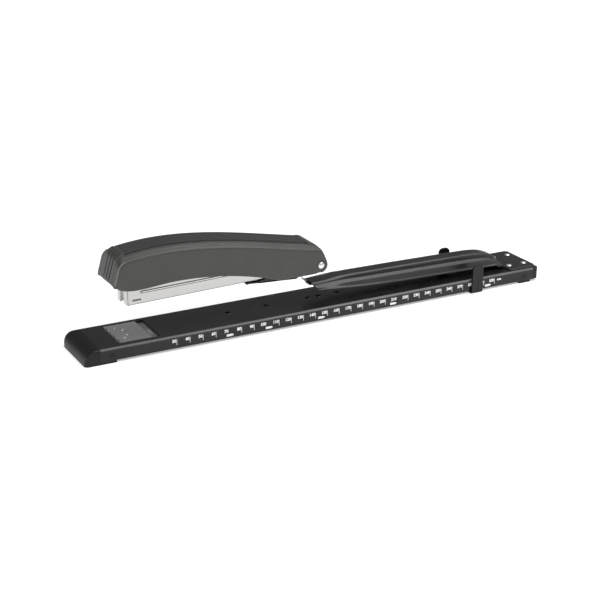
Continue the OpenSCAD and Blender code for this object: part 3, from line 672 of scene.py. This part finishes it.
def make_carrier():
    """The strip that bends up out of the arm, the tongue under the handle and the two ears."""
    root = (145.2, RIB_LINE[0][1] - ARM_SHEET - 0.02)
    line = bezier((root, (142.8, root[1] + 0.2), (141, 32.6), (131, 32.8)), 16) + [(128.5, 32.9)]
    corner = 0.2
    ends = ((-CARRIER_STRIP_HW, corner), (-CARRIER_STRIP_HW + corner, 0),
            (CARRIER_STRIP_HW - corner, 0), (CARRIER_STRIP_HW, corner))
    outer = []
    inner = []
    for i, (x, z) in enumerate(line):
        before, after = line[max(i - 1, 0)], line[min(i + 1, len(line) - 1)]
        along = Vector((after[0] - before[0], after[1] - before[1])).normalized()
        # the offset is square to the strip only where the strip is level: it thins out on the slope
        outer.append([(x + along.y * drop, y, z + along.x * drop) for y, drop in ends])
        low = [(y, CARRIER_SHEET - drop) for y, drop in ends]
        inner.append([(x + along.y * depth, y, z + along.x * depth) for y, depth in low])
    strip = sheet_object("carrier_strip", outer, inner, "carrier_black", None)
    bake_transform(strip)
    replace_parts(strip, "carrier")
    shape = [(131, 32.8), (91.5, 35.2), (90.1, 34.6), (90.9, 33.7), (92.5, 34.1), (131, 31.7)]
    tongue = plate_object("carrier_tongue", shape, -EAR_OUT, EAR_OUT, "carrier_black", "head", 0.2)
    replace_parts(tongue, "carrier")
    turns = [math.radians(a) for a in range(-90, 91, 15)]
    eye = [(PIVOT[0] + PIVOT_EYE * math.cos(a), PIVOT[1] + PIVOT_EYE * math.sin(a)) for a in turns]
    ear = [(100, 33.4), (131, 31.8), (140, 36.6)] + eye + [(138, 45.4), (108, 36.8), (100, 35)]
    for side, name in ((-1, "near"), (1, "far")):
        faces = (side * EAR_IN, side * EAR_OUT)
        piece = plate_object("carrier_ear_" + name, ear, *faces, "carrier_black", "head", 0.2)
        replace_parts(piece, "carrier")


make_carrier()

# ---------- magazine ----------

MAG_Z = 33.3
MAG_TILT = math.radians(1.4)
MAG_HW = 7.5
STICK_FRONT = 2.2
STICK_LENGTH = 60.0
ROD_Z = 4.2


def mag(x, y, z):
    """Reach coordinates of a point given in the magazine's own tilted frame."""
    return (x * math.cos(MAG_TILT) - z * math.sin(MAG_TILT), y,
            MAG_Z + x * math.sin(MAG_TILT) + z * math.cos(MAG_TILT))


def make_pressing(name, x0, x1, z, height, proud, finish):
    """A long pressed bead or tab with round ends, on both side walls of the magazine."""
    points = []
    faces = []
    rise = ((1.0, 0.0), (0.86, 0.55), (0.6, 0.88), (0.3, 1.0))
    buried = 0.25
    turns = [math.radians(a) for a in range(-90, 91, 18)]
    outline = [(x1 + height / 2 * math.cos(a), height / 2 * math.sin(a)) for a in turns]
    outline += [(x0 - height / 2 * math.cos(a), -height / 2 * math.sin(a)) for a in turns]
    n = len(outline)
    for side in (-1, 1):
        start = len(points)
        for size, lift in rise:
            y = side * (MAG_HW - buried + (buried + proud) * lift)
            for x, dz in outline:
                middle = min(max(x, x0), x1)
                points.append(mag(middle + (x - middle) * size, y, z + dz * size))
        for ring in range(len(rise) - 1):
            for i in range(n):
                a, b = start + ring * n + i, start + ring * n + (i + 1) % n
                faces.append((a, b, b + n, a + n))
        faces.append(tuple(range(start + (len(rise) - 1) * n, start + len(rise) * n)))
        faces.append(tuple(reversed(range(start, start + n))))
    piece = finish_mesh(mesh_object(name, points, faces, "magazine_chrome", "head"), 60)
    piece.data.materials[0] = finish
    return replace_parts(piece, "magazine")


def make_staples():
    """The stick: round wires bent square, one behind the other."""
    pitch = 0.52
    radius = 0.25
    half = 6.4 - radius
    top = 8.3 - radius
    foot = 2.3
    corner = 0.45
    section = [(-half, foot), (-half, top - corner), (-half + 0.13, top - 0.13), (-half + corner, top),
               (half - corner, top), (half - 0.13, top - 0.13), (half, top - corner), (half, foot)]
    count = int((STICK_LENGTH - 0.1) / pitch)
    paths = [[mag(STICK_FRONT + 0.05 + radius + i * pitch, y, z) for y, z in section] for i in range(count)]
    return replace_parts(wire_object("staple_stick", paths, radius, 6, "staple_wire", "head"), "staples")


def make_pusher_spring():
    """Coil round the rod."""
    start, end, radius, pitch, wire = 71.45, 134.7, 2.1, 2.6, 0.4
    turns = (end - start - 2 * wire) / pitch
    steps = int(turns * 16)
    path = []
    for i in range(steps + 1):
        angle = 2 * math.pi * turns * i / steps
        x = start + wire + (end - start - 2 * wire) * i / steps
        path.append(mag(x, radius * math.cos(angle), ROD_Z + radius * math.sin(angle)))
    spring = wire_object("pusher_coil", [path], wire, 6, "spring_steel", "head")
    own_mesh(spring)
    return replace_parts(spring, "pusher_spring")


def make_return_spring():
    """Torsion coil round the rivet with its two legs."""
    radius, reach, leg, turns = 3.1, 5.4, 20, 8.5
    steps = int(turns * 20)
    path = [(PIVOT[0] - leg, -reach, PIVOT[1] - radius)]
    for i in range(steps + 1):
        angle = -math.pi / 2 + 2 * math.pi * turns * i / steps
        path.append((PIVOT[0] + radius * math.cos(angle), -reach + 2 * reach * i / steps,
                     PIVOT[1] + radius * math.sin(angle)))
    path.append((PIVOT[0] - leg, reach, PIVOT[1] + radius + 2))
    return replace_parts(wire_object("return_coil", [path], 0.45, 8, "spring_steel", "head"), "return_spring")


# A lighter copy of the plating, a painted highlight on the beads
HIGHLIGHT_PLATING = plated_metal("bead_highlight_plating", (0.97, 0.97, 0.96), 0.3, edge_shade=0.2)
# A darker copy of the plating, painted shade round the beads, on the tabs and along the folds
SHADED_PLATING = plated_metal("shaded_plating", (0.2, 0.2, 0.2), 0.4)


def make_floor_seam():
    """Dark strips of painted shade along the lower edges of the side walls, where the magazine's sheet is
    folded.
    """
    corners = [mag(x, 0, z) for x, z in ((1.2, 0.12), (140, 0.12), (140, 0.5), (1.2, 0.5))]
    outline = [(x, z) for x, _, z in corners]
    for side, name in ((-1, "near"), (1, "far")):
        edges = sorted((side * (MAG_HW - 0.1), side * (MAG_HW + 0.03)))
        dark_strip = plate_object("fold_shade_" + name, outline, *edges, "magazine_chrome", "head", 0.02)
        dark_strip.data.materials[0] = SHADED_PLATING
        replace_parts(dark_strip, "magazine")


def make_nose_flange():
    """Folded flange on the far half of the magazine's front, ahead of the nose plate."""
    outline = [(-1.1, 33.4), (0.2, 33.4), (0.2, 48), (-0.7, 48), (-1.1, 47)]
    flange = plate_object("nose_flange", outline, 2.1, MAG_HW, "magazine_chrome", "head", 0.25)
    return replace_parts(flange, "nose_plate")


# Dark outlines of painted shade round the beads, the beads in the lighter plating as a painted highlight, and
# the tabs in the darker plating as painted shade
make_pressing("bead_shadows", 11.2, 87.5, 8.2, 2.1, 0.03, SHADED_PLATING)
make_pressing("magazine_beads", 11.4, 87.3, 8.2, 1.2, 0.35, HIGHLIGHT_PLATING)
make_pressing("magazine_tabs", 4.6, 8.4, 3.0, 1.5, 0.3, SHADED_PLATING)
make_floor_seam()
make_nose_flange()
make_staples()
make_pusher_spring()
make_return_spring()

# ---------- scale ----------

SCALE_Y = -22.0
INK_THICKNESS = 0.02
ARROW_TIPS = (74, 105, 148, 210, 297)
# Numbers whose tick is left out, because an arrow stands there
UNTICKED = (70, 100, 210)


def make_scale():
    """The reach scale printed on the base's near side: numbers, ticks, arrows and the unit."""
    points = []
    faces = []

    def add_shape(outline):
        n = len(outline)
        start = len(points)
        for depth in (0, INK_THICKNESS):
            points.extend(((x + STAPLE_X) * MM, (SCALE_Y - depth) * MM, z * MM) for x, z in outline)
        faces.append(tuple(range(start, start + n)))
        faces.append(tuple(reversed(range(start + n, start + 2 * n))))
        for i in range(n):
            j = (i + 1) % n
            faces.append((start + i, start + n + i, start + n + j, start + j))

    def add_text(words, x, z, height, anchor):
        curve = bpy.data.curves.new("scale_text", "FONT")
        curve.body = words
        curve.size = height * MM / 0.72
        curve.align_x = anchor
        curve.resolution_u = 3
        curve.extrude = INK_THICKNESS / 2 * MM
        curve.offset = 0.14 * MM
        text = bpy.data.objects.new("scale_text", curve)
        bpy.context.scene.collection.objects.link(text)
        bpy.context.view_layer.update()
        letters = bpy.data.meshes.new_from_object(text.evaluated_get(bpy.context.evaluated_depsgraph_get()))
        start = len(points)
        points.extend(((x + STAPLE_X) * MM + v.co.x, (SCALE_Y - INK_THICKNESS / 2) * MM - v.co.z,
                       z * MM + v.co.y) for v in letters.vertices)
        faces.extend(tuple(start + k for k in face.vertices) for face in letters.polygons)
        bpy.data.objects.remove(text)

    for reach in range(30, 301, 10):
        if reach not in UNTICKED:
            add_shape([(reach - 0.16, 4.1), (reach + 0.16, 4.1), (reach + 0.16, 8.4), (reach - 0.16, 8.4)])
        add_text(str(reach), reach - 0.5, 6.2, 2.2, "RIGHT")
    for tip in ARROW_TIPS:
        tail, neck = tip - 5.8, tip - 1.5
        add_shape([(tail, 3.0), (neck, 3.0), (tip, 3.85), (neck, 4.7), (tail, 4.7)])
    add_text("mm", 302.5, 6.4, 1.8, "LEFT")
    mesh = bpy.data.meshes.new("scale_print")
    mesh.from_pydata(points, [], faces)
    obj = bpy.data.objects.new("scale_print", mesh)
    bpy.context.scene.collection.objects.link(obj)
    mesh.materials.append(ink("scale_ink", (0.8, 0.8, 0.8)))
    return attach(obj, "base")


make_scale()

# ---------- handle ----------

HANDLE_HW = 16.5
STRIP_HW = 9.35
STRIP_STEP = 1.15
GROOVES = (-4.6, 0.0, 4.6)
TOP_CURVE = ((-3, 71.8), (45.2, 80.3), (93.4, 67.3), (141.6, 58.5))
WALL = 1.8
FRONT_FOOT = (-11.9, 51.6)
FOOT_DROP = 1.2
FRONT_LEAN = 0.286
# Sideways measure of an inset on the leaning front, and how far the front corner is cut back
FRONT_SLANT = 1.04
CORNER_CUT = 4.2
GROOVE_FOOT = 53.6
STRIP_FRONT = -3.8
STRIP_REAR = 139.2
# Angles about the rivet at which the rear wall and the side walls end
REAR_CUT = -38
LOWEST = -91


def top_height(x):
    """Height of the handle's crest; the curve's control points are evenly spaced in X."""
    first, last = TOP_CURVE[0][0], TOP_CURVE[3][0]
    t = (x - first) / (last - first)
    weights = ((1 - t) ** 3, 3 * (1 - t) ** 2 * t, 3 * (1 - t) * t * t, t ** 3)
    return sum(w * p[1] for w, p in zip(weights, TOP_CURVE))


def rear_end(y):
    """Angle at which the rear wall ends below the rivet; only the side walls reach right under it."""
    share = min(max((abs(y) - 15.6) / 0.8, 0), 1)
    return REAR_CUT + (LOWEST - REAR_CUT) * share


def rear_outline(inset, end):
    """The handle's rear in side view, from the crest down and round the rivet to an end angle."""
    slope = bezier((TOP_CURVE[3], (147.2, 57.3), (149.8, 50.2), (151.9, 45.2)), 12)
    arc = [(PIVOT[0] + 5.6 * math.cos(a), PIVOT[1] + 5.8 * math.sin(a))
           for a in (math.radians(24 + (end - 24) * i / 12) for i in range(13))]
    points = slope + arc
    moved = []
    for i, (x, z) in enumerate(points):
        before, after = points[max(i - 1, 0)], points[min(i + 1, len(points) - 1)]
        along = Vector((after[0] - before[0], after[1] - before[1])).normalized()
        moved.append((x + along.y * inset, z - along.x * inset))
    return moved


def column(front_inset, top_inset, rear_inset, groove=0.0, trench=0.0, drop_share=0.0, end=REAR_CUT):
    """One line over the handle in side view: up the front, over the crest and down round the rivet."""
    def front_x(z, inset):
        return FRONT_FOOT[0] + (z - FRONT_FOOT[1]) * FRONT_LEAN + inset * FRONT_SLANT

    x = front_x(68, front_inset + groove)
    top_drop = top_inset + (0 if trench else groove)
    for _ in range(12):
        x = front_x(top_height(x) - top_drop, front_inset + groove)
    corner = (x, top_height(x) - top_drop)
    feet = [FRONT_FOOT[1] - FOOT_DROP * drop_share, 52.4, GROOVE_FOOT - 0.3]
    feet += [GROOVE_FOOT + (corner[1] - CORNER_CUT - GROOVE_FOOT) * i / 4 for i in range(5)]
    front = [(front_x(z, front_inset + (groove if z >= GROOVE_FOOT else 0)), z) for z in feet]
    leave = (corner[0] + CORNER_CUT, top_height(corner[0] + CORNER_CUT) - top_drop)
    bend = bezier((front[-1], tuple(a + (b - a) * 0.6 for a, b in zip(front[-1], corner)),
                   tuple(a + (b - a) * 0.6 for a, b in zip(leave, corner)), leave), 7)[1:]
    rear = rear_outline(rear_inset, end)
    k = next(i for i, p in enumerate(rear) if p[1] <= top_height(p[0]) - top_drop + 1e-6)
    if k:
        a, b = rear[k - 1], rear[k]
        ga = a[1] - top_height(a[0]) + top_drop
        gb = b[1] - top_height(b[0]) + top_drop
        share = ga / (ga - gb)
        rear = [tuple(p + (q - p) * share for p, q in zip(a, b))] + rear[k:]
    start = leave[0] + 0.2
    stations = [start - 0.1] + [start + (STRIP_REAR - start) * i / 40 for i in range(41)] + [STRIP_REAR + 0.1]
    crest = []
    for i, sx in enumerate(stations):
        drop = trench if trench and 1 <= i <= 41 else top_drop
        crest.append((sx, top_height(sx) - drop))
    return front + bend + crest + spaced(rear, 26)


# Half of the cover's section: y, then how far the front, the crest and the rear lie inside the outline
TOP_STATIONS = (0.0, 0.72, 0.8, 2.3, 3.8, 3.88, 5.32, 5.4, 7.2, 9.3, 9.75, 9.85)
GROOVE_HW = 0.75
SIDE_BANDS = ((10.0, -0.1, 0.95, 0), (11.4, -0.05, 1.3, 0), (12.9, 0.0, 1.95, 0), (13.9, 0.0, 2.7, 0),
              (14.9, 0.0, 3.0, 0), (15.6, 0.1, 3.5, 0), (16.05, 0.35, 4.05, 0.05), (16.35, 0.7, 4.7, 0.15),
              (16.5, 1.2, 5.6, 0.35), (16.5, 1.8, 6.4, 0.7))


def handle_columns():
    """(y, column) pairs across the handle's outer face, from the near side to the far side."""
    half = []
    for y in TOP_STATIONS:
        bulge = 0.3 * (y / 13.5) ** 2 - 0.3
        groove = 1.5 if min(abs(y - g) for g in GROOVES) < GROOVE_HW else 0.0
        half.append((y, column(bulge, 0, 0, groove, STRIP_STEP)))
    for y, *insets in SIDE_BANDS:
        half.append((y, column(*insets, drop_share=(y / HANDLE_HW) ** 4, end=rear_end(y))))
    return [(-y, c) for y, c in reversed(half[1:])] + half


def handle_lining():
    """The same for the cover's inner face, with as many columns."""
    half = [(y, column(WALL + 0.3, WALL + 0.6, WALL)) for y in TOP_STATIONS]
    shrink = (HANDLE_HW - WALL) / HANDLE_HW
    half += [(y * shrink, column(front + WALL, top * 0.9 + WALL, rear + WALL,
                                 drop_share=(y / HANDLE_HW) ** 4, end=rear_end(y)))
             for y, front, top, rear in SIDE_BANDS]
    return [(-y, c) for y, c in reversed(half[1:])] + half


def handle_underside():
    """The lower edge of the handle's sides, from the rivet forwards."""
    return (spaced([(147.2, 36.2), (130, 36), (113, 36)], 8)[1:]
            + bezier(((113, 36), (98, 41.4), (70, 48.8), (36, 48.8)), 16)[1:]
            + bezier(((36, 48.8), (24, 48.8), (14, 46.9), (4, 46.9)), 8)[1:]
            + bezier(((4, 46.9), (-2.5, 46.9), (-7.2, 48.0), (-10.2, 50.1)), 6)[1:-1])


def make_handle_cover():
    """Moulded cover: outer and inner faces joined along the open underside."""
    skins = (handle_columns(), handle_lining())
    lower = handle_underside()
    rows = len(skins[0][0][1])
    count = len(skins[0])
    points = []
    faces = []
    skin_starts = []
    for inner, columns in enumerate(skins):
        start = len(points)
        skin_starts.append(start)
        points += [(x, y, z) for y, line in columns for x, z in line]
        for i in range(count - 1):
            for j in range(rows - 1):
                a = start + i * rows + j
                quad = (a, a + 1, a + rows + 1, a + rows)
                faces.append(quad[::-1] if inner else quad)
        for side, edge in ((-1, start), (1, start + (count - 1) * rows)):
            first = len(points)
            half_width = abs(columns[0][0])
            points += [(x, side * half_width, z) for x, z in lower]
            ring = list(range(edge, edge + rows)) + list(range(first, first + len(lower)))
            corners = [[Vector((points[i][0], points[i][2], 0)) for i in ring]]
            faces += [tuple(ring[i] for i in triangle) for triangle in tessellate_polygon(corners)]
    outer, inner = skin_starts
    size = inner - outer
    border = ([i * rows for i in range(count)]
              + [count * rows + len(lower) + k for k in reversed(range(len(lower)))]
              + [i * rows + rows - 1 for i in reversed(range(count))]
              + list(range(count * rows, count * rows + len(lower))))
    for a, b in zip(border, border[1:] + border[:1]):
        faces.append((a, b, b + size, a + size))
    cover = mesh_object("handle_cover", points, faces, "handle_grey", "handle")
    finish_mesh(cover, 40)
    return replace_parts(cover, "handle_shell")


def make_grip():
    """Ribbed strip along the crest, with three grooves and softened ridges."""
    profile = []
    ridges = (-STRIP_HW, -4.95, -4.25, -0.35, 0.35, 4.25, 4.95, STRIP_HW)
    for low, high in zip(ridges[0::2], ridges[1::2]):
        profile += [(low, -0.55), (low + 0.08, -0.18), (low + 0.3, 0.0), (low + 1.0, 0.1),
                    (high - 1.0, 0.1), (high - 0.3, 0.0), (high - 0.08, -0.18), (high, -0.55)]
    ring = [(-STRIP_HW, -1.1)] + profile + [(STRIP_HW, -1.1)]
    count = 72
    xs = [STRIP_FRONT + 0.15 + (STRIP_REAR - STRIP_FRONT - 0.25) * i / count for i in range(count + 1)]
    xs = [xs[0], xs[0] + 0.25] + xs[1:-1] + [xs[-1] - 0.25, xs[-1]]
    points = []
    for i, x in enumerate(xs):
        ends = 0.3 if i in (0, len(xs) - 1) else 0.0
        for y, drop in ring:
            lowered = ends if drop > -1 else 0
            points.append((x, y, top_height(x) - 0.12 + max(drop, -1.1) - lowered))
    n = len(ring)
    faces = [(i * n + j, i * n + (j + 1) % n, (i + 1) * n + (j + 1) % n, (i + 1) * n + j)
             for i in range(len(xs) - 1) for j in range(n)]
    faces += [tuple(range(n))[::-1], tuple(range((len(xs) - 1) * n, len(xs) * n))]
    grip = mesh_object("grip_strip", points, faces, "grip_rubber", "handle")
    grip.data.shade_smooth()
    grip.data.set_sharp_from_angle(angle=math.radians(50))
    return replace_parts(grip, "handle_grip")


def make_front_rims():
    """Slim rims down the two front corners of the handle, in a light grey plastic that paints the corners'
    highlight.
    """
    line = column(0.3, 3.6, 0)
    crest = next(i for i, (x, z) in enumerate(line) if x > STRIP_FRONT)
    paths = [[(x, side * 15.75, z) for x, z in line[1:crest]] for side in (-1, 1)]
    rims = wire_object("front_rims", paths, 0.42, 8, "handle_grey", "handle")
    rims.data.materials[0] = moulded_plastic("corner_highlight_plastic", (0.17, 0.168, 0.165), 0.3)
    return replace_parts(rims, "handle_shell")


make_handle_cover()
make_grip()
make_front_rims()

# ---------- stage ----------

bpy.ops.mesh.primitive_plane_add(size=30)
floor = bpy.context.object
floor.name = "floor"
floor.data.materials.append(floor_material())


def area_light(name, location, target, size, power):
    """A white rectangular softbox at a place in metres, turned to a target."""
    data = bpy.data.lights.new(name, "AREA")
    data.shape = "RECTANGLE"
    data.size, data.size_y = size
    data.energy = power
    light = bpy.data.objects.new(name, data)
    bpy.context.scene.collection.objects.link(light)
    light.location = location
    light.rotation_euler = (Vector(target) - Vector(location)).to_track_quat("-Z", "Y").to_euler()


area_light("edge_softbox", (0.55, -0.65, 0.82), (0, 0, 0.02), (0.5, 0.6), 4.5)
area_light("crest_softbox", (0.55, 0.05, 1.05), (0, 0, 0.02), (0.5, 0.6), 3.5)
area_light("left_softbox", (-1.0, -0.4, 0.12), (-0.16, 0, 0.06), (0.5, 0.4), 1.2)

sun_data = bpy.data.lights.new("overhead_diffuse", "SUN")
sun_data.energy = 2.0
sun_data.angle = math.radians(75)
sun = bpy.data.objects.new("overhead_diffuse", sun_data)
bpy.context.scene.collection.objects.link(sun)
sun.rotation_euler = (math.radians(18), math.radians(-12), 0)

world = bpy.data.worlds.new("studio")
world.use_nodes = True
world.node_tree.nodes["Background"].inputs["Color"].default_value = (1, 1, 1, 1)
world.node_tree.nodes["Background"].inputs["Strength"].default_value = 0.2
bpy.context.scene.world = world
bpy.context.scene.view_settings.view_transform = "Standard"

CAMERA_PLACE = Vector((-471.06, -830.23, 374.22)) * MM
CAMERA_YAW = 28.85
CAMERA_PITCH = 20.97
CAMERA_ROLL = 0.63
CAMERA_SENSOR = 36
CAMERA_LENS = 82.31
camera_data = bpy.data.cameras.new("camera")
camera_data.sensor_width = CAMERA_SENSOR
camera_data.lens = CAMERA_LENS
camera = bpy.data.objects.new("camera", camera_data)
bpy.context.scene.collection.objects.link(camera)
camera.matrix_world = (Matrix.Translation(CAMERA_PLACE)
                       @ Matrix.Rotation(math.radians(-CAMERA_YAW), 4, "Z")
                       @ Matrix.Rotation(math.radians(90 - CAMERA_PITCH), 4, "X")
                       @ Matrix.Rotation(math.radians(CAMERA_ROLL), 4, "Z"))
bpy.context.scene.camera = camera
